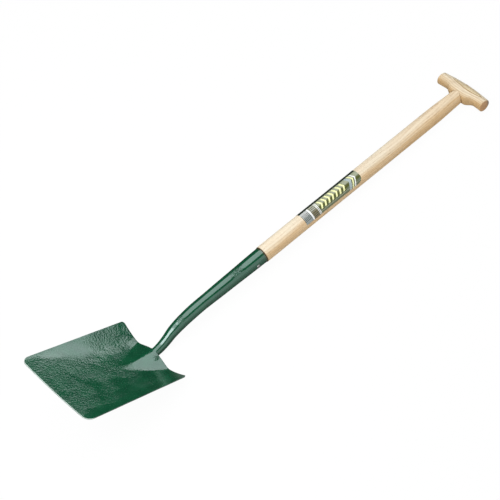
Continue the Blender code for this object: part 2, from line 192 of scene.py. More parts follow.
# %% Boolean tools
def fix(piece):
    """Replaces a piece's mesh by the one that its modifiers make, and drops the modifiers."""
    evaluated = piece.evaluated_get(bpy.context.evaluated_depsgraph_get())
    mesh = bpy.data.meshes.new_from_object(evaluated)
    piece.modifiers.clear()
    piece.data = mesh


def work(piece, tool, operation):
    """Joins a tool shape to a piece, or takes it away, and removes the tool."""
    modifier = piece.modifiers.new(operation, "BOOLEAN")
    modifier.operation = operation
    modifier.solver = "EXACT"
    modifier.object = tool
    fix(piece)
    bpy.data.objects.remove(tool, do_unlink=True)


def smooth(piece, sharp_degrees):
    """Smooth shading, with edges that bend more than an angle kept sharp."""
    piece.data.shade_smooth()
    piece.data.set_sharp_from_angle(angle=math.radians(sharp_degrees))
    print(piece.name, "has", len(piece.data.vertices), "points")


# %% [markdown]
# ## Blade
# The blade of the real shovel is a steel plate pressed into a shallow dish that is almost flat at
# the mouth and deep at the shoulder, with a raised boss that runs up to the neck. It could be
# sculpted, or cut from curved blocks. A height formula is shorter and exact: a dish of the power
# 2.3 across, and a roof with two slopes for the boss, joined by a smooth maximum.

# %% Dish and boss
mouth_width = 0.2207
shoulder_width = 0.2082
plate_thickness = 0.0024
mouth_bow = 0.0015
mouth_corner_radius = 0.017
shoulder_corner_radius = 0.007
mouth_dish = 0.002
shoulder_dish = 0.026
dish_exponent = 2.3
boss_length = 0.077
boss_end_height = -0.005
boss_side_slope = 0.38
boss_crest_radius = 0.006
boss_blend = 0.005


def smooth_max(first, second, blend):
    """The larger of two heights, with the corner between them rounded over the blend."""
    share = np.clip(0.5 + 0.5 * (first - second) / blend, 0.0, 1.0)
    return second * (1 - share) + first * share + blend * share * (1 - share)


def half_width(along):
    """Half of the blade's width: straight sides that close in a little towards the shoulder."""
    return 0.5 * (mouth_width + (shoulder_width - mouth_width) * along / blade_length)


def dish_depth(along):
    """Depth of the dish's middle, growing evenly from the mouth to the shoulder."""
    return mouth_dish + (shoulder_dish - mouth_dish) * along / blade_length


def crest_height(along):
    """Height of the boss's crest, a straight line from the blade's floor up to the shoulder."""
    tip_height = -dish_depth(blade_length - boss_length)
    return boss_end_height + (boss_end_height - tip_height) * (along - blade_length) / boss_length


def front_height(along, across):
    """Hollow side: the dish -depth (1 - share^2.3), and the boss's roof where it stands above it."""
    share = np.abs(across) / half_width(along)
    dish = -dish_depth(along) * (1 - share**dish_exponent)
    fall = np.sqrt(across**2 + boss_crest_radius**2) - boss_crest_radius
    return smooth_max(dish, crest_height(along) - boss_side_slope * fall, boss_blend)


print("boss stands", round(crest_height(blade_length) + shoulder_dish, 4), "m above the dish")

# %% [markdown]
# ## Pebbled steel
# The forging is slightly uneven, and the floor of the blade is pebbled like the skin of an orange.
# Both could be painted with a displacement map. Sums of sine waves need no map: long, low ones for
# the unevenness and much shorter ones for the pebbles. A share keeps the pebbles off what the
# press left smooth, which is the boss, the flank towards -Y and a band up the flank towards +Y.

# %% Waves and where they reach
forging_waves = {"seed": 5, "count": 22, "lengths": (0.025, 0.080), "height": 0.00008}
pebble_waves = {"seed": 9, "count": 90, "lengths": (0.0060, 0.0120), "height": 0.00003}
band_distance = 0.030
band_opening = 0.002
band_opening_limit = 0.040
band_fade = 0.028
band_end = 0.135
band_end_fade = 0.045
boss_zone_start = 0.188
boss_zone_lead = 0.036
boss_zone_fade = 0.035
valley_distance = 0.040
valley_opening = 0.5
valley_opening_start = 0.215
valley_fade = 0.012
plain_flank_distance = 0.108
plain_flank_slope = 0.06
plain_flank_fade = 0.030


def smooth_step(value, start=0.0, width=1.0):
    """Goes from 0 to 1 with level ends, 3 t^2 - 2 t^3, over a width from a start."""
    t = np.clip((value - start) / width, 0.0, 1.0)
    return t * t * (3 - 2 * t)


def waves(along, across, seed, count, lengths, height):
    """A sum of sine waves: height / sqrt(count) sin(2 pi distance / length + phase), seeded."""
    random = np.random.default_rng(seed)
    length = random.uniform(*lengths, count)
    turn = random.uniform(0, 2 * math.pi, count)
    phase = random.uniform(0, 2 * math.pi, count)
    swing = along[..., None] * np.cos(turn) + across[..., None] * np.sin(turn)
    return height / math.sqrt(count) * np.sin(2 * math.pi * swing / length + phase).sum(-1)


def smooth_band(along, across):
    """1 on the smooth band, whose inner edge is a hyperbola, fading out towards the shoulder."""
    edge = band_distance + band_opening / np.maximum(along, band_opening_limit)
    return smooth_step(across, edge, band_fade) * (1 - smooth_step(along, band_end, band_end_fade))


def pebble_share(along, across):
    """1 where the steel is pebbled; almost 0 on the boss, the -Y flank and the smooth band."""
    start = boss_zone_start - boss_zone_lead * smooth_step(across, 0.0, valley_fade)
    valley = valley_distance + valley_opening * np.clip(along - valley_opening_start, 0, None)
    boss = smooth_step(along, start, boss_zone_fade) * (1 - smooth_step(across, valley, valley_fade))
    flank_edge = plain_flank_slope * along - plain_flank_distance
    flank = 1 - smooth_step(across, flank_edge, plain_flank_fade)
    return (1 - 0.9 * smooth_band(along, across)) * (1 - 0.85 * boss) * (1 - 0.9 * flank)


print("pebbles on the floor:", round(float(pebble_share(0.1, 0.0)), 2))

# %% [markdown]
# ## Blade as a plate
# The height formula gives the hollow side. A Solidify modifier could make the back. Here the back
# is a second grid, one plate thickness under the hollow side and measured square to the dish's
# slope, so that the cut edges stay upright as a press leaves them. A narrow bevel takes their
# sharpness off. The columns stand closer at the corners of the mouth, so that they come out round.

# %% Blade
def corner_inset(across, half, radius):
    """How far a round corner draws the end of a column back: radius - sqrt(radius^2 - inside^2)."""
    inside = np.clip(np.abs(across) - (half - radius), 0, radius)
    return radius - np.sqrt(radius**2 - inside**2)


def mouth_edge(across):
    """Where the cut edge at the mouth lies along the blade: bow share^2, drawn back at the corners."""
    half = 0.5 * mouth_width
    return mouth_bow * (across / half) ** 2 + corner_inset(across, half, mouth_corner_radius)


def blade_sheets(rows=150, straight_columns=64, corner_columns=14):
    """The hollow side, and the back under it by thickness sqrt(1 + slope along^2 + slope across^2)."""
    straight = 0.5 * mouth_width - mouth_corner_radius
    bend = np.linspace(0, math.pi / 2, corner_columns + 1)[1:]
    half = np.linspace(0, straight, straight_columns)
    half = np.append(half, straight + mouth_corner_radius * np.sin(bend))
    columns = np.append(-half[:0:-1], half)
    share = columns / (0.5 * mouth_width)
    start = mouth_edge(columns)
    end_half = 0.5 * shoulder_width
    end = blade_length - corner_inset(share * end_half, end_half, shoulder_corner_radius)
    along = start + (end - start) * np.linspace(0, 1, rows)[:, None]
    across = share * half_width(along)
    height = front_height(along, across)
    step = 0.0005
    slope_along = (front_height(along + step, across) - height) / step
    slope_across = (front_height(along, across + step) - height) / step
    height = height + waves(along, across, **forging_waves)
    height = height + waves(along, across, **pebble_waves) * pebble_share(along, across)
    back = height - plate_thickness * np.sqrt(1 + slope_along**2 + slope_across**2)
    return np.stack([along, across, height], axis=-1), np.stack([along, across, back], axis=-1)


hollow_side, back_side = blade_sheets()
head = sheet("forged_head_painted", from_blade(hollow_side), from_blade(back_side))
round_over = head.modifiers.new("round_over", "BEVEL")
round_over.limit_method = "ANGLE"
round_over.angle_limit = math.radians(50)
round_over.width = 0.0007
round_over.segments = 3
fix(head)
print("blade points:", len(head.data.vertices))

# %% [markdown]
# ## Neck and socket
# One bar of steel becomes the neck and the socket: it leaves the boss low, sweeps up steeply and
# bends into the line of the shaft, where it is opened to a cone for the wood. A curve with a bevel
# could draw it, but its width and its height change on their own, so the section is an ellipse
# carried along a path. Two cubic Hermite pieces give the path, and a tongue runs forward under
# the boss so that the bar never ends in view.

# %% Path of the neck
crest_cover = 0.0012
tongue_length = 0.058
tongue_tip_radius = 0.0012
neck_root_setback = 0.0035
neck_root_half_width = 0.0102
neck_root_half_height = 0.0095
neck_root_slope = 0.25
neck_root_pull = 0.045
neck_middle_ahead = 0.0412
neck_middle_rise = 0.0329
neck_middle_radius = 0.0117
neck_middle_slope = math.radians(53)
neck_middle_low_pull = 0.060
neck_middle_high_pull = 0.075
neck_end_distance = 0.130
neck_end_radius = 0.0144
neck_end_pull = 0.085
neck_swell_exponent = 2.5


def hermite(first, first_way, last, last_way, count):
    """Points and directions of the cubic with given ends and end directions, t from 0 to 1."""
    t = np.linspace(0, 1, count)[:, None]
    points = (2 * t**3 - 3 * t**2 + 1) * first + (t**3 - 2 * t**2 + t) * first_way
    points = points + (3 * t**2 - 2 * t**3) * last + (t**3 - t**2) * last_way
    ways = (6 * t**2 - 6 * t) * (first - last) + (3 * t**2 - 4 * t + 1) * first_way
    return points, ways + (3 * t**2 - 2 * t) * last_way


def neck_path(count=46):
    """Centres, directions, half widths and half heights from the boss up to the socket."""
    root_height = crest_height(blade_length) - neck_root_half_height - crest_cover
    root = np.array([blade_length - neck_root_setback, root_height])
    middle = root + np.array([neck_middle_ahead, neck_middle_rise])
    end = shaft_point(neck_end_distance)
    leave = heading(neck_root_slope) * neck_root_pull
    climb = heading(neck_middle_slope)
    arrive = heading(shaft_angle) * neck_end_pull
    low, low_ways = hermite(root, leave, middle, climb * neck_middle_low_pull, count)
    high, high_ways = hermite(middle, climb * neck_middle_high_pull, end, arrive, count)
    share = np.linspace(0, 1, count)
    wide = neck_root_half_width + (neck_middle_radius - neck_root_half_width) * share**2
    tall = neck_root_half_height + (neck_middle_radius - neck_root_half_height) * share
    swell = 1 - (1 - share[1:]) ** neck_swell_exponent
    high_radius = neck_middle_radius + (neck_end_radius - neck_middle_radius) * swell
    centres = np.concatenate([low, high[1:]])
    ways = np.concatenate([low_ways, high_ways[1:]])
    return centres, ways, np.append(wide, high_radius), np.append(tall, high_radius)


def tongue_path(count=24):
    """Sections of the tongue under the boss, growing from a blunt tip to the neck's first section."""
    centres, _, wide, tall = neck_path()
    share = np.linspace(0, 1, count)[:-1]
    along = centres[0, 0] - tongue_length * (1 - share)
    thick = tongue_tip_radius + (tall[0] - tongue_tip_radius) * smooth_step(share)
    width = 2 * tongue_tip_radius + (wide[0] - 2 * tongue_tip_radius) * smooth_step(share)
    line = np.stack([along, crest_height(along) - crest_cover - thick], axis=-1)
    ways = np.gradient(np.concatenate([line, centres[:1]]), axis=0)[:-1]
    return line, ways, width, thick


print("neck sections:", len(neck_path()[0]), "and tongue sections:", len(tongue_path()[0]))

# %% Neck, tongue and socket as one bar
socket_rim_radius = 0.0181
socket_wall = 0.0019
socket_depth = 0.130
socket_bottom_radius = 0.0131
neck_unevenness = 0.006
neck_unevenness_step = 0.011


def socket_profile():
    """Distances along the shaft's line and radii: the cone, its rounded lip and the bore's bottom."""
    cone = np.linspace(0, 1, 40)[1:]
    lip = np.linspace(0, math.pi, 9)[1:]
    lip_radius = socket_wall / 2
    lip_start = rim_distance - lip_radius
    distance = [
        neck_end_distance + (lip_start - neck_end_distance) * cone,
        lip_start + lip_radius * np.sin(lip),
        [rim_distance - socket_depth],
    ]
    radius = [
        neck_end_radius + (socket_rim_radius - neck_end_radius) * cone,
        socket_rim_radius - lip_radius + lip_radius * np.cos(lip),
        [socket_bottom_radius],
    ]
    return np.concatenate(distance), np.concatenate(radius)


def socket_path():
    """The socket's sections in the same form as the neck's; they are round."""
    distance, radius = socket_profile()
    return shaft_point(distance), np.tile(heading(shaft_angle), (len(distance), 1)), radius, radius


def section_rings(centres, ways, wide, tall, sides):
    """Ellipses square to a path in the plane y = 0: centre + up tall sin + side wide cos."""
    turn = full_turn(sides)
    ways = ways / np.linalg.norm(ways, axis=1)[:, None]
    rise = tall[:, None] * np.sin(turn)
    along = centres[:, :1] - ways[:, 1:] * rise
    height = centres[:, 1:] + ways[:, :1] * rise
    return np.stack([along, wide[:, None] * np.cos(turn), height], axis=-1)


bar_parts = zip(tongue_path(), neck_path(), socket_path())
bar_rings = section_rings(*[np.concatenate(group) for group in bar_parts], 96)
bar_rings[..., 1] *= 1 + neck_unevenness * np.sin(bar_rings[..., 0] / neck_unevenness_step)
work(head, tube("neck", from_blade(bar_rings)), "UNION")
print("head points after the weld:", len(head.data.vertices))

# %% Hole for the rivet
clearance = 0.0003
rivet_setback = 0.0250
rivet_pin_radius = 0.0025
rivet_hole_half_length = 0.036


def rivet_hole():
    """A rod across the socket, a clearance wider than the rivet's pin."""
    radius = rivet_pin_radius + clearance
    ends = [-rivet_hole_half_length, rivet_hole_half_length]
    rings = crosswise(lathe(ends, [radius, radius], 32)) - [rivet_setback, 0, 0]
    return tube("rivet_hole", from_shaft(rings))


work(head, rivet_hole(), "DIFFERENCE")
print("head points after boring:", len(head.data.vertices))

# %% [markdown]
# ## Weld between blade and neck
# On a forged head no line shows where the neck meets the boss. The join above leaves one. A sculpt
# brush would smooth it by eye. Here the points near it are relaxed, which is what the brush does:
# each moves towards the mean of its neighbours, again and again, by a share that fades out a few
# millimetres from the weld.

# %% Relax the weld
weld_drop = 0.006
weld_width_share = 1.25
weld_reach = 0.008
weld_fade = 0.010


def positions(piece):
    """The mesh's points as rows of x, y, z."""
    flat = np.zeros(len(piece.data.vertices) * 3, np.float32)
    piece.data.vertices.foreach_get("co", flat)
    return flat.reshape(-1, 3).astype(float)


def in_blade(points):
    """World points seen in the blade frame."""
    return turned(points - lay_origin, -lay_angle, 0.0)


def relax(piece, share, rounds):
    """Moves points towards the mean of their neighbours: p + share (mean - p), in rounds."""
    mesh = piece.data
    ends = np.zeros(len(mesh.edges) * 2, int)
    mesh.edges.foreach_get("vertices", ends)
    first, second = ends.reshape(-1, 2).T
    points = positions(piece)
    neighbours = np.bincount(ends, minlength=len(points))[:, None]
    for _ in range(rounds):
        total = np.zeros_like(points)
        np.add.at(total, first, points[second])
        np.add.at(total, second, points[first])
        points = points + share[:, None] * (total / neighbours - points)
    mesh.vertices.foreach_set("co", points.astype(np.float32).ravel())
    mesh.update()


weld_centre = np.array([blade_length, 0.0, crest_height(blade_length) - weld_drop])
weld_offset = (in_blade(positions(head)) - weld_centre) / [1.0, weld_width_share, 1.0]
weld_share = 1 - smooth_step(np.linalg.norm(weld_offset, axis=1), weld_reach, weld_fade)
relax(head, 0.5 * weld_share, rounds=12)
smooth(head, 38)
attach(head, "root")
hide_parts("forged_head")

# %% [markdown]
# ## Shaft
# The ash shaft is turned: its foot tapers into the socket, the long body is almost straight, and
# near the top it narrows, is coped to sit against the round grip, and passes through it as a
# slotted tenon. Stacked cylinders and cones would show steps where they meet. A lathe profile
# carried round the axis describes all of it but the coped shoulder and the tenon's end, which
# follow the grip's curves, so these rings bend along x.

# %% Shaft body
shaft_radius = 0.0190
shaft_waist_radius = 0.0187
shaft_top_radius = 0.0160
shaft_taper_length = 0.100
shaft_edge_round = 0.0012
shaft_foot_chamfer = 0.002
shaft_shoulder_lead = 0.004
tenon_radius = 0.0085
tenon_end_shares = np.array([1.0, 0.99, 0.8, 0.6, 0.4, 0.2])
grip_centre_top = 0.0210
grip_centre_bottom = 0.0205
grip_centre_half_width = 0.0185
grip_boss_power = 3.0


def shaft_wood_radius(distance):
    """Radius of the bare shaft: a slight even taper, then a smooth step down before the grip."""
    share = smooth_step(distance, bare_length - shaft_taper_length, shaft_taper_length)
    straight = shaft_radius + (shaft_waist_radius - shaft_radius) * distance / bare_length
    return straight + (shaft_top_radius - straight) * share


def across_grip(height, across, power):
    """How far the grip's middle section reaches: height (1 - |across / half|^power)^(1 / power)."""
    return height * (1 - np.abs(across / grip_centre_half_width) ** power) ** (1 / power)


def shaft_rings(sides=96):
    """Rings from the foot in the socket to the end of the tenon."""
    foot = clearance - socket_depth
    foot_radius = socket_bottom_radius - clearance
    rim_radius = socket_rim_radius - socket_wall - clearance
    bend = np.linspace(0, math.pi / 2, 6)
    body_end = bare_length - grip_centre_bottom - shaft_shoulder_lead
    body = np.linspace(shaft_shoulder_lead, body_end, 170)
    places = [
        [foot, foot + shaft_foot_chamfer, clearance],
        clearance + shaft_edge_round * (1 - np.cos(bend)),
        body,
    ]
    radii = [
        [foot_radius - shaft_foot_chamfer, foot_radius, rim_radius],
        shaft_radius - shaft_edge_round * (1 - np.sin(bend)),
        shaft_wood_radius(body),
    ]
    up = np.sin(full_turn(sides))
    shoulder = np.linspace(shaft_top_radius, tenon_radius, 8)
    cope = across_grip(grip_centre_bottom, shoulder[:, None] * up, grip_boss_power) + clearance
    end = tenon_radius * tenon_end_shares
    crown = across_grip(grip_centre_top, end[:, None] * up, 2.0)
    parts = [
        lathe(np.concatenate(places), np.concatenate(radii), sides),
        lathe(bare_length - cope, shoulder, sides),
        lathe(bare_length + crown, end, sides),
    ]
    return np.concatenate(parts)


shaft = tube("ash_shaft_turned", from_shaft(shaft_rings()))
work(shaft, rivet_hole(), "DIFFERENCE")
print("shaft points:", len(shaft.data.vertices))

# %% Slot for the wedge
wedge_thickness = 0.0030
wedge_depth = 0.026


def block(name, middle, thick, wide, long):
    """A box in the shaft frame from its middle and three half sides, as a tube with four sides."""
    corners = np.array([-thick - wide, wide - thick, thick + wide, thick - wide])
    return tube(name, from_shaft(middle + np.stack([corners - long, corners + long])))


x_way, y_way, z_way = np.eye(3)
slot_low = bare_length + grip_centre_top - wedge_depth - clearance
slot_high = bare_length + grip_centre_top * 2
slot = block(
    "tenon_slot",
    x_way * (slot_low + slot_high) / 2,
    z_way * tenon_radius * 2,
    y_way * (wedge_thickness / 2 + clearance),
    x_way * (slot_high - slot_low) / 2,
)
work(shaft, slot, "DIFFERENCE")
print("shaft points with the slot:", len(shaft.data.vertices))

# %% [markdown]
# ## T grip
# The crosspiece is shaped by hand: round at its ends, full on top, with a boss under the middle
# where the shaft enters, and one long facet planed on its upper front. It could be sculpted, but a
# formula keeps both ends alike: the section is an ellipse whose upper half, lower half and side
# each have a radius of their own along the grip. Under the middle the lower half is squarer, a
# superellipse of the power 3, as the boss is left when the wood beside it is rasped away. The facet
# is then one flat cut.

# %% Grip
grip_half_length = 0.0665
grip_end_radius = 0.0140
grip_end_round = 0.0025
grip_end_top = 0.0165
grip_waist_bottom = 0.0113
grip_boss_half_length = 0.0185
grip_waist_distance = 0.0400
grip_curve_exponent = 1.5


def grip_radii(along):
    """Top, bottom and side radii of the grip's section, and the power of its lower half."""
    distance = np.abs(along)
    bow = (distance / grip_half_length) ** grip_curve_exponent
    top = grip_centre_top + (grip_end_top - grip_centre_top) * bow
    fall = smooth_step(distance, grip_boss_half_length, grip_waist_distance - grip_boss_half_length)
    flare = np.clip((distance - grip_waist_distance) / (grip_half_length - grip_waist_distance), 0, 1)
    bottom = grip_centre_bottom + (grip_waist_bottom - grip_centre_bottom) * fall
    bottom = bottom + (grip_end_radius - grip_waist_bottom) * flare**grip_curve_exponent
    swell = 1 - smooth_step(distance, 0.0, grip_half_length)
    side = grip_end_radius + (grip_centre_half_width - grip_end_radius) * swell
    return top, bottom, side, grip_boss_power + (2 - grip_boss_power) * fall


def grip_rings(stations=60, sides=96):
    """Rings along y of points at reach = (|cos / height|^power + |sin / side|^power)^(-1 / power)."""
    turn = full_turn(sides)
    bend = np.linspace(0, math.pi / 2, 7)[1:]
    straight = grip_half_length - grip_end_round
    half = np.append(np.linspace(0, straight, stations), straight + grip_end_round * np.sin(bend))
    shrink = np.append(np.zeros(stations), grip_end_round * (1 - np.cos(bend)))
    along = np.append(-half[:0:-1], half)
    shrink = np.append(shrink[:0:-1], shrink)[:, None]
    top, bottom, side, low_power = [value[:, None] for value in grip_radii(along)]
    upper = np.cos(turn) >= 0
    power = np.where(upper, 2.0, low_power)
    rise = np.abs(np.cos(turn)) / (np.where(upper, top, bottom) - shrink)
    reach = (rise**power + np.abs(np.sin(turn) / (side - shrink)) ** power) ** (-1 / power)
    y = np.broadcast_to(along[:, None], reach.shape)
    return np.stack([bare_length + reach * np.cos(turn), y, reach * np.sin(turn)], axis=-1)


grip = tube("t_grip_shaped", from_shaft(grip_rings()))
bore_ends = [bare_length - grip_centre_top * 2, bare_length + grip_centre_top * 2]
bore = lathe(bore_ends, [tenon_radius + clearance] * 2, 96)
work(grip, tube("tenon_hole", from_shaft(bore)), "DIFFERENCE")
print("grip points:", len(grip.data.vertices))

# %% Planed facet
facet_angle = math.radians(52)
facet_depth = 0.0032
facet_box = 0.030
facet_box_half_length = 0.1
facet_normal = np.array([math.cos(facet_angle), 0.0, math.sin(facet_angle)])
facet_across = np.array([-facet_normal[2], 0.0, facet_normal[0]])
grip_centre = bare_length * x_way
facet_level = ((grip_rings() - grip_centre) @ facet_normal).max() - facet_depth
facet_middle = grip_centre + facet_normal * (facet_level + facet_box / 2)

for piece, node, slot_name in ((grip, "t_grip", "grip_wood"), (shaft, "ash_shaft", "shaft_wood")):
    thick, wide = facet_normal * facet_box / 2, facet_across * facet_box
    plane = block("facet_plane", facet_middle, thick, wide, facet_box_half_length * y_way)
    work(piece, plane, "DIFFERENCE")
    smooth(piece, 30)
    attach(piece, "root")
    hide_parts(node)

# %% [markdown]
# ## Rivet
# One steel pin holds the shaft in the socket. Both ends are hammered into low domes. Flattened
# spheres would do for the domes, but one lathe profile, turned about the axis that crosses the
# socket, gives the pin and both domes at once, and the CAD rivet is made the same way.

# %% Rivet
rivet_head_radius = 0.0042
rivet_head_height = 0.0014
rivet_head_edge = 0.97
rivet_sunk = 0.0001
seat_share = (rim_distance - rivet_setback - neck_end_distance) / (rim_distance - neck_end_distance)
seat = neck_end_radius + (socket_rim_radius - neck_end_radius) * seat_share + clearance
bend = np.linspace(0, math.pi / 2 * rivet_head_edge, 12)
rivet_radii = [rivet_pin_radius, rivet_head_radius * rivet_head_edge]
rivet_radii = np.append(rivet_radii, rivet_head_radius * np.cos(bend))
rivet_places = np.append([seat - rivet_sunk] * 2, seat + rivet_head_height * np.sin(bend))
rivet_radii = np.append(rivet_radii[::-1], rivet_radii)
rivet_places = np.append(-rivet_places[::-1], rivet_places)
rivet_rings = crosswise(lathe(rivet_places, rivet_radii, 48)) - [rivet_setback, 0, 0]
rivet = tube("socket_rivet_domed", from_shaft(rivet_rings))
smooth(rivet, 50)
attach(rivet, "root")
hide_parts("socket_rivet")

# %% [markdown]
# ## Label
# A printed film is wrapped nearly half of the way round the shaft, with one rounded end. A flat
# sheet could be bent round with a modifier. Here the shaft's own radius is at hand, so the film is
# two grids a fifth of a millimetre apart on it. A UV map runs along the shaft and round it, so that
# the printed bands can be drawn as real lengths.

# %% Label
label_setback = 0.1173
label_length = 0.1665
label_sweep = math.radians(156)
label_start_angle = math.radians(8)
label_corner_radius = 0.012
label_width = label_sweep * shaft_radius
label_lifts = (0.00028, 0.00006)


def label_sheets(rows=80, columns=72):
    """Outer and inner grids: x along the shaft, the angle round it, rounded corners at the far end."""
    share = np.linspace(0, 1, columns)
    drawn = corner_inset((share - 0.5) * label_width, label_width / 2, label_corner_radius)
    from_start = np.linspace(0, 1, rows)[:, None] * (label_length - drawn)
    along = label_setback + from_start
    angle = label_start_angle + label_sweep * share
    sheets = []
    for lift in label_lifts:
        radius = shaft_wood_radius(along) + lift
        sheets.append(np.stack([along, radius * np.cos(angle), radius * np.sin(angle)], axis=-1))
    around = np.broadcast_to(share * label_width, along.shape)
    return sheets, np.stack([from_start, around], axis=-1)


(outer, inner), label_uv = label_sheets()
label = sheet("label_film", from_shaft(outer), from_shaft(inner))
corners = np.zeros(len(label.data.loops), int)
label.data.loops.foreach_get("vertex_index", corners)
uv = np.tile(label_uv.reshape(-1, 2), (2, 1))[corners]
layer = label.data.uv_layers.new(name="print")
layer.data.foreach_set("uv", uv.astype(np.float32).ravel())
smooth(label, 40)
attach(label, "root")
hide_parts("label")
print("label is", round(label_length * 1000), "by", round(label_width * 1000), "mm")

# %% [markdown]
# ## Numbers made of nodes
# A finish is a small network of nodes, and most of them do arithmetic. They could be placed and
# linked by hand in the shader editor, or one by one in the script. To keep the networks readable,
# an output that is a number is wrapped here, so that a plus or a times in the script adds the Math
# node for it. The other helpers add one kind of node each, and fill its inputs with values or with
# other nodes' outputs.

# %% Arithmetic with nodes
class Number:
    """A number that changes over a surface; each sign between two of them adds a Math node."""

    def __init__(self, finish, socket):
        self.finish = finish
        self.socket = socket

    def __add__(self, other):
        return self.finish.math("ADD", self, other)

    def __sub__(self, other):
        return self.finish.math("SUBTRACT", self, other)

    def __rsub__(self, other):
        return self.finish.math("SUBTRACT", other, self)

    def __mul__(self, other):
        return self.finish.math("MULTIPLY", self, other)

    def __truediv__(self, other):
        return self.finish.math("DIVIDE", self, other)

    def __pow__(self, other):
        return self.finish.math("POWER", self, other)

    def __abs__(self):
        return self.finish.math("ABSOLUTE", self)

    def __lt__(self, other):
        return self.finish.math("LESS_THAN", self, other)

    def __gt__(self, other):
        return self.finish.math("GREATER_THAN", self, other)


def colour(red, green, blue):
    """A linear colour with its fourth number."""
    return (red, green, blue, 1.0)


# %% Node helpers
class Finish:
    """A material and short ways to add nodes to it."""

    def __init__(self, name):
        self.material = bpy.data.materials.new(name)
        self.material.use_nodes = True
        self.tree = self.material.node_tree
        self.shader = self.tree.nodes["Principled BSDF"]

    def feed(self, socket, value):
        """Links an output to a socket, or sets the socket's value."""
        if isinstance(value, Number):
            value = value.socket
        if isinstance(value, bpy.types.NodeSocket):
            self.tree.links.new(value, socket)
        else:
            socket.default_value = value

    def fill(self, node, inputs):
        """Feeds a node's inputs by socket name, with spaces written as underscores."""
        for key, value in inputs.items():
            self.feed(node.inputs[key.replace("_", " ")], value)
        return node

    def add(self, kind, settings=None, **inputs):
        """A node of a kind, with its settings and inputs."""
        node = self.tree.nodes.new(kind)
        for key, value in (settings or {}).items():
            setattr(node, key, value)
        return self.fill(node, inputs)

    def surface(self, **inputs):
        """Feeds the shader."""
        self.fill(self.shader, inputs)

    def math(self, operation, *values):
        """Arithmetic on numbers, as one node."""
        node = self.add("ShaderNodeMath", {"operation": operation})
        for socket, value in zip(node.inputs, values):
            self.feed(socket, value)
        return Number(self, node.outputs[0])

    def mix(self, share, first, second):
        """A colour between two colours."""
        node = self.add("ShaderNodeMix", {"data_type": "RGBA"})
        for number, value in ((0, share), (6, first), (7, second)):
            self.feed(node.inputs[number], value)
        return node.outputs[2]

    def band(self, value, low, high):
        """Goes smoothly from 0 to 1 as a number goes from low to high."""
        settings = {"interpolation_type": "SMOOTHSTEP"}
        node = self.add("ShaderNodeMapRange", settings, Value=value, From_Min=low, From_Max=high)
        return Number(self, node.outputs["Result"])

    def share(self, name):
        """The number that a piece's points carry under a name."""
        node = self.add("ShaderNodeAttribute", {"attribute_name": name})
        return Number(self, node.outputs["Fac"])

    def object_place(self):
        """Where a point lies on the piece, in metres."""
        return self.add("ShaderNodeTexCoord").outputs["Object"]

    def parts(self, vector):
        """The x, y and z of a vector."""
        return [Number(self, part) for part in self.add("ShaderNodeSeparateXYZ", Vector=vector).outputs]

    def stretched(self, vector, scale, turn=(0.0, 0.0, 0.0), shift=(0.0, 0.0, 0.0), kind="POINT"):
        """Coordinates scaled, turned and moved by a Mapping node, or the other way back for TEXTURE."""
        inputs = {"Vector": vector, "Location": shift, "Rotation": turn, "Scale": scale}
        return self.add("ShaderNodeMapping", {"vector_type": kind}, **inputs).outputs["Vector"]

    def noise(self, vector, scale, detail=2.0, roughness=0.5):
        """Fractal noise from 0 to 1, with a scale in features a metre."""
        inputs = {"Vector": vector, "Scale": scale, "Detail": detail, "Roughness": roughness}
        return Number(self, self.add("ShaderNodeTexNoise", **inputs).outputs["Fac"])

    def bump(self, height, distance, normal=None):
        """A bump of a real height in metres, on top of another where one is given."""
        node = self.add("ShaderNodeBump", Strength=1.0, Distance=distance, Height=height)
        if normal is not None:
            self.feed(node.inputs["Normal"], normal)
        return node.outputs["Normal"]

    def dress(self, piece):
        """Gives the finish to a piece as its only material."""
        piece.data.materials.clear()
        piece.data.materials.append(self.material)
        print(piece.name, "wears", self.material.name, "of", len(self.tree.nodes), "nodes")


# %% [markdown]
# ## Green paint
# The head is dipped in a dark green gloss enamel. Where the steel under it is pebbled, the gloss
# breaks up into small sparks. On the boss, one flank and the neck it is smooth, and on the band up
# the other flank it is a little duller. Three rough patches are left from the forging, on the
# socket, on the neck and beside the boss. A painted brown shade lies at the socket's rim, and the
# cut edge at the mouth is bare, painted pale partly as bare steel and partly as a painted highlight.
# A flat green with one roughness would look like plastic, so points carry a share for each of these,
# worked out from where they are.

# %% Shares that the points carry
satin_start = 0.060
satin_fade = 0.050
shoulder_edge_width = 0.0005
bare_lit_edge_width = 0.0016
rim_shade_start = -0.0020
rim_shade_width = 0.0014


def paint_share(piece, name, values):
    """Stores one number a point, for a material to read as an attribute."""
    attribute = piece.data.attributes.new(name, "FLOAT", "POINT")
    attribute.data.foreach_set("value", np.asarray(values, np.float32))
    print(name, "covers", round(100 * float(np.mean(values)), 1), "% of the points")


def in_shaft(points):
    """World points seen in the shaft frame."""
    return turned(points - rim_place, -shaft_tilt, 0.0)


def patch(points, centre, size):
    """1 at a centre, falling to 0 where the distance, counted in sizes, reaches 1."""
    return 1 - smooth_step(np.linalg.norm((points - centre) / size, axis=1))


def mouth_gap(along, across):
    """Distance along the blade from the cut edge at the mouth."""
    scaled = across * 0.5 * mouth_width / half_width(np.clip(along, 0, blade_length))
    return along - mouth_edge(scaled)


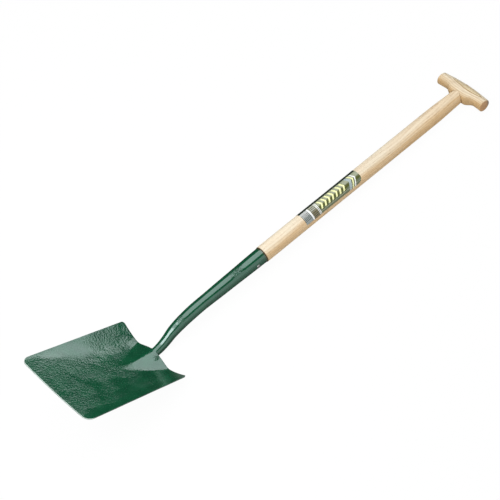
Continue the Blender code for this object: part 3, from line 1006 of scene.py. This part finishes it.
head_points = in_blade(positions(head))
head_along, head_across, _ = head_points.T
socket_points = in_shaft(positions(head))
pebbled_points = pebble_share(head_along, head_across)
pebbled_points[head_along > blade_length - shoulder_edge_width] = 0
satin_points = smooth_band(head_along, head_across) * smooth_step(head_along, satin_start, satin_fade)
rough_patches = [
    patch(socket_points, (-0.074, -0.002, 0.017), (0.024, 0.016, 0.014)),
    patch(head_points, (0.325, 0.0, 0.052), (0.016, 0.014, 0.014)),
    patch(head_points, (0.256, -0.017, -0.011), (0.009, 0.009, 0.009)),
]
paint_share(head, "pebbled", pebbled_points)
paint_share(head, "satin", satin_points)
paint_share(head, "ragged", np.max(rough_patches, axis=0))
# Share of the bare cut edge at the mouth, which is also painted pale as a highlight.
paint_share(head, "bare_lit_edge", 1 - smooth_step(mouth_gap(head_along, head_across), 0.0, bare_lit_edge_width))
# Share of the painted shade at the socket's rim.
paint_share(head, "rim_shade", smooth_step(socket_points[:, 0], rim_shade_start, rim_shade_width))

# %% Green paint
paint = Finish("green_enamel")
place = paint.object_place()
clouds = paint.band(paint.noise(place, 45.0, 3.0), 0.3, 0.7)
green = paint.mix(clouds, colour(0.001, 0.053, 0.021), colour(0.003, 0.070, 0.028))
# Pale paint on the mouth's cut edge: partly bare, worn steel and partly a painted highlight.
worn_and_lit = paint.noise(place, 260.0, 3.0) * 0.5 + (paint.share("bare_lit_edge") - 0.25)
green = paint.mix(paint.band(worn_and_lit, 0.35, 0.60), green, colour(0.42, 0.50, 0.45))
# Painted shade: brown on the paint at the socket's rim, where the gap to the wood lies in shade.
green = paint.mix(paint.share("rim_shade") * 0.8, green, colour(0.055, 0.040, 0.016))
patches = paint.band(paint.noise(place, 26.0, 3.0), 0.3, 0.7) * 1.2 + 0.30
pebbles = paint.share("pebbled") * patches
scars = paint.noise(place, 330.0, 2.0, 0.6) * paint.share("ragged")
normal = paint.bump(paint.noise(place, 265.0, 1.5) * pebbles, 0.0011)
normal = paint.bump(scars, 0.0030, normal)
normal = paint.bump(paint.noise(place, 700.0), 0.00005, normal)
paint.surface(
    Base_Color=green,
    Roughness=pebbles * 0.18 + 0.19,
    Coat_Roughness=pebbles * 0.09 + (paint.share("satin") * 0.12 + 0.09),
    Normal=normal,
    Coat_Normal=normal,
    IOR=1.5,
    Specular_Tint=colour(0.52, 1.0, 0.98),
    Coat_Weight=1.0,
    Coat_IOR=1.75,
)
paint.dress(head)

# %% [markdown]
# ## Ash wood
# Ash is pale, with yearly rings that show on a turned surface as long streaks and as a lens where
# the surface lies along them. A flat picture of wood, wrapped round, would not match at the ends.
# So the rings are drawn as the tree made them, in the solid: the distance from a pith line outside
# the piece, bent a little by noise, and cut into years with a dark start. Fibres and pores are
# noise stretched along the grain. All of it works in the shaft's own frame, so each piece only says
# which way its grain runs, where its pith was and where it is tan, a tan that is partly painted shade.

# %% Ash wood
class Wood(Finish):
    """Ash with its grain along x or y of the shaft frame."""

    def __init__(self, name, grain_along_y):
        super().__init__(name)
        lay = {"turn": (0.0, shaft_tilt, 0.0), "shift": tuple(rim_place), "kind": "TEXTURE"}
        place = self.stretched(self.object_place(), (1.0, 1.0, 1.0), **lay)
        self.x, self.y, self.z = self.parts(place)
        turn = math.pi / 2 if grain_along_y else 0.0
        self.grain = self.stretched(place, (1.0, 1.0, 1.0), (0.0, 0.0, -turn))
        self.fibres = self.streaks(6.0, 330.0, 4.0, 0.62)
        self.surface(IOR=1.45)

    def streaks(self, along, across, detail, roughness=0.5):
        """Noise with a number of features a metre along the grain and another across it."""
        return self.noise(self.stretched(self.grain, (along, across, across)), 1.0, detail, roughness)

    def rings(self, first, second, pith, year, bend):
        """Dark start of each year's ring: radius = sqrt(first^2 + second^2) + bend noise, cut in years."""
        radius = ((first - pith[0]) ** 2 + (second - pith[1]) ** 2) ** 0.5
        radius = self.streaks(4.0, 14.0, 2.0) * bend + radius
        share = self.math("FRACT", radius / year)
        return self.band(share, 0.0, 0.10) * (1 - self.band(share, 0.12, 0.60))

    def finish(self, cream, tan, tan_and_shade_share, rings, ring_strength):
        """Mixes cream and tan (partly painted shade), darkens rings, fibres and pores, roughens the
        fibres.
        """
        cast = self.band(self.streaks(16.0, 60.0, 2.0), 0.35, 0.65)
        pinker = colour(cream[0], cream[1] * 0.97, cream[2] * 0.95)
        shade = self.mix(tan_and_shade_share, self.mix(cast, cream, pinker), tan)
        dark = self.mix(0.55, shade, colour(0.36, 0.19, 0.07))
        strength = tan_and_shade_share * (0.5 * ring_strength) + 0.5 * ring_strength
        shade = self.mix(rings * strength, shade, dark)
        shade = self.mix(self.band(self.fibres, 0.46, 0.70) * 0.42, shade, dark)
        pores = self.band(self.streaks(60.0, 1700.0, 1.0), 0.62, 0.74)
        shade = self.mix(pores * rings, shade, colour(0.30, 0.16, 0.07))
        fibre_bump = self.bump(self.fibres, 0.00006)
        self.surface(Base_Color=shade, Roughness=rings * 0.10 + 0.46, Normal=fibre_bump)

    def paint_over(self, share, shade):
        """Lays a colour over the colour so far by a share."""
        so_far = self.shader.inputs["Base Color"].links[0].from_socket
        self.surface(Base_Color=self.mix(share, so_far, shade))


def side_tan_and_shade(wood, low, high):
    """Tan and painted shade on the side towards -Y with a streaked border, from the direction across the
    shaft.
    """
    return wood.band(wood.y * (-1.0 / shaft_radius) + (wood.fibres * 0.9 - 0.45), low, high)


# %% Wood of the shaft and of the wedge
# Brown of painted shade, used in the gap at the socket's rim and in the seam under the grip.
shade_brown = colour(0.10, 0.055, 0.02)
# Tan of the side towards -Y: partly the ash's own tan and partly painted shade.
tan = colour(0.71, 0.475, 0.235)
browning_length = 0.30
foot_shade_start = 0.0008
foot_shade_end = 0.0024
shaft_wood = Wood("ash_shaft_wood", False)
shaft_years = shaft_wood.rings(shaft_wood.y, shaft_wood.z, (-0.030, -0.052), 0.0042, 0.012)
towards_grip = shaft_wood.band(shaft_wood.x, bare_length - browning_length, bare_length)
# The tan side is partly the ash's own tan and partly painted shade, and it grows browner towards the grip.
tan_and_shade_side = shaft_wood.math("MINIMUM", towards_grip * 0.30 + side_tan_and_shade(shaft_wood, 0.25, 1.25), 1.0)
shaft_wood.finish(colour(0.727, 0.630, 0.480), tan, tan_and_shade_side, shaft_years, 0.6)
# Painted shade: the shaft's foot turns brown where it enters the socket, because the gap there lies in
# shade.
shaft_wood.paint_over(1 - shaft_wood.band(shaft_wood.x, foot_shade_start, foot_shade_end), shade_brown)
shaft_wood.dress(shaft)

wedge_wood = Wood("ash_wedge_wood", False)
wedge_years = wedge_wood.rings(wedge_wood.y, wedge_wood.z, (-0.012, -0.030), 0.0018, 0.003)
# The wedge's side towards -Y gets the same mix of tan and painted shade.
wedge_wood.finish(colour(0.52, 0.36, 0.19), tan, side_tan_and_shade(wedge_wood, 0.05, 1.0), wedge_years, 1.0)
wedge_wood.dress(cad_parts["tenon_wedge"])

# %% [markdown]
# ## Wood of the grip
# The grip is cut so that the rings lie along its crown. There they show as one long lens, with a
# fainter line inside its border and another outside, and the planed facet in the lens is a little
# yellower. The wood is browner low down and towards the ends, partly its own tan and partly painted
# shade. The end faces show end grain, which soaks up oil and is brown, with painted shade at the far
# rim, and painted shade darkens the seam round the shaft.
# All this could be painted by hand. Comparisons of distances, to the facet's plane, to the end
# faces and to the shaft's axis, draw it as sharply and follow any change of size.

# %% Colours of the grip
grip_wood = Wood("ash_grip_wood", True)
ahead = grip_wood.x - bare_length
sideways = abs(grip_wood.y)
rise = grip_wood.z * facet_normal[2] + ahead * facet_normal[0]
run = grip_wood.z * facet_across[2] + ahead * facet_across[0]
grip_years = grip_wood.rings(rise, run, (-0.060, 0.0), 0.0033, 0.004)
# Low down and towards the ends the grip turns tan: partly the ash's own tan, partly painted shade.
low_tan_and_shade = sideways * 8.0 + 0.05 - (grip_wood.z + ahead) * 45.0 + grip_wood.fibres * 0.8
low_tan_and_shade = grip_wood.band(low_tan_and_shade, -0.1, 1.1)
grip_wood.finish(colour(0.76, 0.660, 0.490), colour(0.56, 0.38, 0.19), low_tan_and_shade, grip_years, 1.0)
print("rings and fibres of the grip:", len(grip_wood.tree.nodes), "nodes")

# %% Lens on the crown
lens_half_length = 0.0435
lens_half_width = 0.0082
lens_middle_along = -0.0085
lens_middle_across = 0.0025
lens_lines = ((0.0, 0.0014, 0.95), (0.0040, 0.0010, 0.40), (-0.0045, 0.0010, 0.35))
lens = (grip_wood.y - lens_middle_along) / lens_half_length
lens = lens**2 * -lens_half_width + lens_half_width
lens = lens - abs(run - lens_middle_across) + (grip_wood.fibres * 0.0016 - 0.0008)
front = grip_wood.band(rise, 0.0, 0.005)
planed = front * grip_wood.band(lens, -0.0002, 0.0006)
grip_wood.paint_over(planed * 0.55, colour(0.76, 0.60, 0.34))
for middle, half, strength in lens_lines:
    line = 1 - grip_wood.band(abs(lens - middle), 0.4 * half, half)
    grip_wood.paint_over(line * front * strength, colour(0.36, 0.22, 0.09))
print("with the lens:", len(grip_wood.tree.nodes), "nodes")

# %% End grain and seam of the grip
end_grain_start = grip_half_length - 0.0011
end_grain_full = grip_half_length - 0.0003
far_rim_shade_start = 0.0065
far_rim_shade_full = 0.0150
seam_shade_width = 0.0022
seam_shade_side_start = 0.006
seam_shade_side_full = 0.014
end = grip_wood.band(sideways, end_grain_start, end_grain_full)
grip_wood.paint_over(end * 0.85, colour(0.50, 0.27, 0.12))
# Painted shade: the end faces are darker at their far rim, which is turned away from the light.
far_rim_shade = grip_wood.band(ahead, far_rim_shade_start, far_rim_shade_full)
grip_wood.paint_over(end * far_rim_shade * 0.8, colour(0.13, 0.10, 0.07))
# Painted shade: brown in the crease where the shaft meets the grip, stronger towards the sides.
axis_gap = (grip_wood.y**2 + grip_wood.z**2) ** 0.5
seam_shade = 1 - grip_wood.band(axis_gap, shaft_top_radius, shaft_top_radius + seam_shade_width)
notch_shade = grip_wood.band(sideways, seam_shade_side_start, seam_shade_side_full)
grip_wood.paint_over(seam_shade * (ahead < 0.0) * (notch_shade * 0.5 + 0.15), shade_brown)
grip_wood.dress(grip)

# %% [markdown]
# ## Rivet steel
# Hammered steel is never evenly bright. The marks of the hammer could be modelled, but the rivet is
# only eight millimetres wide, so one noise is enough: it changes the colour, the roughness and the
# bump together.

# %% Rivet steel
steel = Finish("hammered_steel")
marks = steel.noise(steel.object_place(), 600.0, 3.0)
steel.surface(
    Base_Color=steel.mix(marks, colour(0.42, 0.43, 0.42), colour(0.66, 0.66, 0.64)),
    Roughness=marks * 0.25 + 0.20,
    Normal=steel.bump(marks, 0.00012),
    Metallic=1.0,
)
steel.dress(rivet)

# %% [markdown]
# ## Printed label
# The print is plain: two panels of fine bars, a row of chevrons with a shadow, and three stripes at
# the far end, in the colours of such labels. The usual way is a picture file. Marks this simple can
# be drawn from the UV map, whose units are metres, and stay sharp at any distance: each is one or
# two comparisons of the distance along and round the label. A chevron is a stripe whose distance
# along is shifted by the distance from the row's middle.

# %% Marks of the print
row_middle = 0.0335
row_half_height = 0.0100
row_start = 0.0535
row_end = 0.1295
chevron_spacing = 0.0109
chevron_share = 0.42
chevron_slope = 0.55
shadow_shift = 0.0022
bars_end = 0.0200
hatch_start = 0.0235
hatch_end = 0.0400
white_bands = ((bars_end, hatch_start), (hatch_end, 0.0414), (0.0430, 0.0446))
far_edge_around = 0.0215

film = Finish("printed_label_film")
print_place = film.add("ShaderNodeUVMap", {"uv_map": "print"}).outputs["UV"]
along, around, _ = film.parts(print_place)


def between(value, low, high):
    """1 where a number lies between two others."""
    return (value > low) * (value < high)


def stripes(value, spacing, share):
    """1 on a share of each spacing."""
    return film.math("FRACT", value / spacing) < share


def pointed(shift):
    """The distance from the row's middle, and the distance along plus the slope times the first."""
    off_middle = abs(around - (row_middle + shift))
    return off_middle, off_middle * chevron_slope + (along - shift)


def chevrons(shift):
    """A row of pointed stripes, which may be shifted to make their shadow."""
    off_middle, tip = pointed(shift)
    row = between(tip, row_start, row_end) * (off_middle < row_half_height)
    return row * stripes(tip - row_start, chevron_spacing, chevron_share)


print("the row has", math.ceil((row_end - row_start) / chevron_spacing), "chevrons")

# %% Printed label
upper_body = colour(0.290, 0.310, 0.210)
lower_body = colour(0.130, 0.155, 0.085)
far_edge = colour(0.020, 0.028, 0.018)
shadow = colour(0.075, 0.085, 0.012)
white = colour(0.82, 0.82, 0.80)
silver = colour(0.45, 0.46, 0.45)
dull_silver = colour(0.28, 0.31, 0.30)
pale_blue = colour(0.34, 0.40, 0.40)
yellow = colour(0.82, 0.82, 0.42)
olive = colour(0.20, 0.17, 0.085)
beige = colour(0.38, 0.38, 0.29)
ink = colour(0.045, 0.050, 0.045)
tail_stripes = ((0.1370, 0.1440, pale_blue), (0.1465, 0.1500, yellow), (0.1530, 0.1560, white))

printed = film.mix(film.band(around, 0.0325, 0.0355), upper_body, shadow)
printed = film.mix(film.band(around, 0.0395, 0.0430), printed, lower_body)
printed = film.mix(chevrons(shadow_shift), printed, shadow)
printed = film.mix(chevrons(0.0), printed, yellow)
printed = film.mix(between(around, 0.0462, 0.0470), printed, beige)
bars = film.mix(film.band(around, 0.033, 0.037), silver, dull_silver)
bars = film.mix(stripes(along, 0.0034, 0.40) * between(around, 0.028, 0.046), bars, ink)
printed = film.mix(between(along, 0.0, bars_end), printed, bars)
hatch = film.mix(film.band(around, 0.032, 0.037), beige, olive)
hatch = film.mix(stripes(around, 0.0042, 0.42) * (around > 0.024), hatch, ink)
printed = film.mix(between(along, hatch_start, hatch_end), printed, hatch)
for low, high in white_bands:
    printed = film.mix(between(along, low, high), printed, white)
_, tip = pointed(0.0)
for low, high, shade in tail_stripes:
    printed = film.mix(between(tip, low, high), printed, shade)
printed = film.mix(around < far_edge_around, printed, far_edge)
scuffs = film.noise(print_place, 300.0, 3.0)
film.surface(Base_Color=printed, Roughness=scuffs * 0.2 + 0.25, Normal=film.bump(scuffs, 0.00002))
film.dress(label)

# %% [markdown]
# ## Floor, lamps and world
# The photograph is a studio cut-out on white. To the camera the floor is almost plain white, so
# that only a faint shadow is left. In reflections it is half as bright in front of the shovel, and
# behind it dark, like the unlit end of a studio. Three wide lamps overhead, set one after another
# towards the grip, make the long highlight on the socket and the light sheet on the blade's flank.
# A brighter one beyond the mouth makes the sparkle low on the neck, and a dim card stands in front.
# The world adds a little even light from all round.

# %% Floor
floor_reach = 40.0
floor_corners = np.array([[-1, -1, 0], [1, -1, 0], [1, 1, 0], [-1, 1, 0]]) * floor_reach
floor = add_piece("studio_floor", floor_corners, [[0, 1, 2, 3]])
paper = Finish("floor_paper")
paper.surface(Base_Color=colour(0.80, 0.80, 0.80), Roughness=0.9, Specular_IOR_Level=0.0)
floor_y = paper.parts(paper.object_place())[1]
ray_names = ("Is Camera Ray", "Is Transmission Ray", "Is Glossy Ray")
rays = paper.add("ShaderNodeLightPath").outputs
camera_ray, clear_ray, glossy_ray = [Number(paper, rays[name]) for name in ray_names]
seen_plainly = paper.math("MAXIMUM", camera_ray, clear_ray)
mirrored = glossy_ray * paper.band(floor_y, 0.02, -0.14)
strength = mirrored * 0.5 + seen_plainly
glow = paper.add("ShaderNodeEmission", Color=colour(1.0, 1.0, 1.0), Strength=strength)
direct = paper.math("MAXIMUM", seen_plainly, glossy_ray)
blend = paper.add("ShaderNodeMixShader", Fac=direct * 0.97)
paper.feed(blend.inputs[1], paper.shader.outputs[0])
paper.feed(blend.inputs[2], glow.outputs[0])
paper.fill(paper.tree.nodes["Material Output"], {"Surface": blend.outputs[0]})
paper.dress(floor)


# %% Lamps and world
def softbox(name, place, size, brightness, tilt=0.0, turn=0.0):
    """A rectangular lamp of an even brightness, whose power is brightness pi area."""
    lamp_data = bpy.data.lights.new(name, "AREA")
    lamp_data.shape = "RECTANGLE"
    lamp_data.size, lamp_data.size_y = size
    lamp_data.energy = brightness * math.pi * size[0] * size[1]
    lamp_data.color = (0.98, 1.0, 1.01)
    lamp = bpy.data.objects.new(name, lamp_data)
    lamp.location = place
    lamp.rotation_euler = (tilt, 0.0, turn)
    lamp.visible_camera = False
    bpy.context.scene.collection.objects.link(lamp)
    print(name, "of", round(lamp_data.energy), "W")


softbox("overhead_softbox", (0.05, 0.45, 2.0), (2.1, 2.6), 2.0)
softbox("middle_softbox", (1.85, 0.2, 2.0), (1.5, 2.1), 2.0)
softbox("rear_softbox", (3.65, 1.8, 2.0), (2.1, 2.1), 2.2, turn=math.radians(5))
softbox("bright_softbox", (-1.85, 0.15, 2.0), (1.9, 2.0), 6.0)
softbox("front_card", (-0.2, -3.0, 1.25), (6.0, 2.5), 0.85, tilt=math.pi / 2)

world = bpy.data.worlds.new("studio")
bpy.context.scene.world = world
world.use_nodes = True
world.node_tree.nodes["Background"].inputs["Color"].default_value = colour(1.0, 1.0, 1.0)
world.node_tree.nodes["Background"].inputs["Strength"].default_value = 0.03

# %% [markdown]
# ## Camera
# The camera stands in front of the shovel, a little beyond its mouth and well above it, with a long
# lens and a little roll. Its place was found by fitting the shovel's known points to the photograph.

# %% Camera
camera_data = bpy.data.cameras.new("camera")
camera_data.sensor_width = 36.0
camera_data.lens = 133.2665
camera_data.clip_end = 200.0
camera = bpy.data.objects.new("camera", camera_data)
camera.location = (-1.27057, -2.12241, 3.12163)
camera.rotation_euler = [math.radians(angle) for angle in (37.6101, 9.8494, -42.0759)]
bpy.context.scene.collection.objects.link(camera)
bpy.context.scene.camera = camera
bpy.context.scene.view_settings.view_transform = "Standard"
print("camera stands", round(camera.location.length, 2), "m from the shovel's middle")
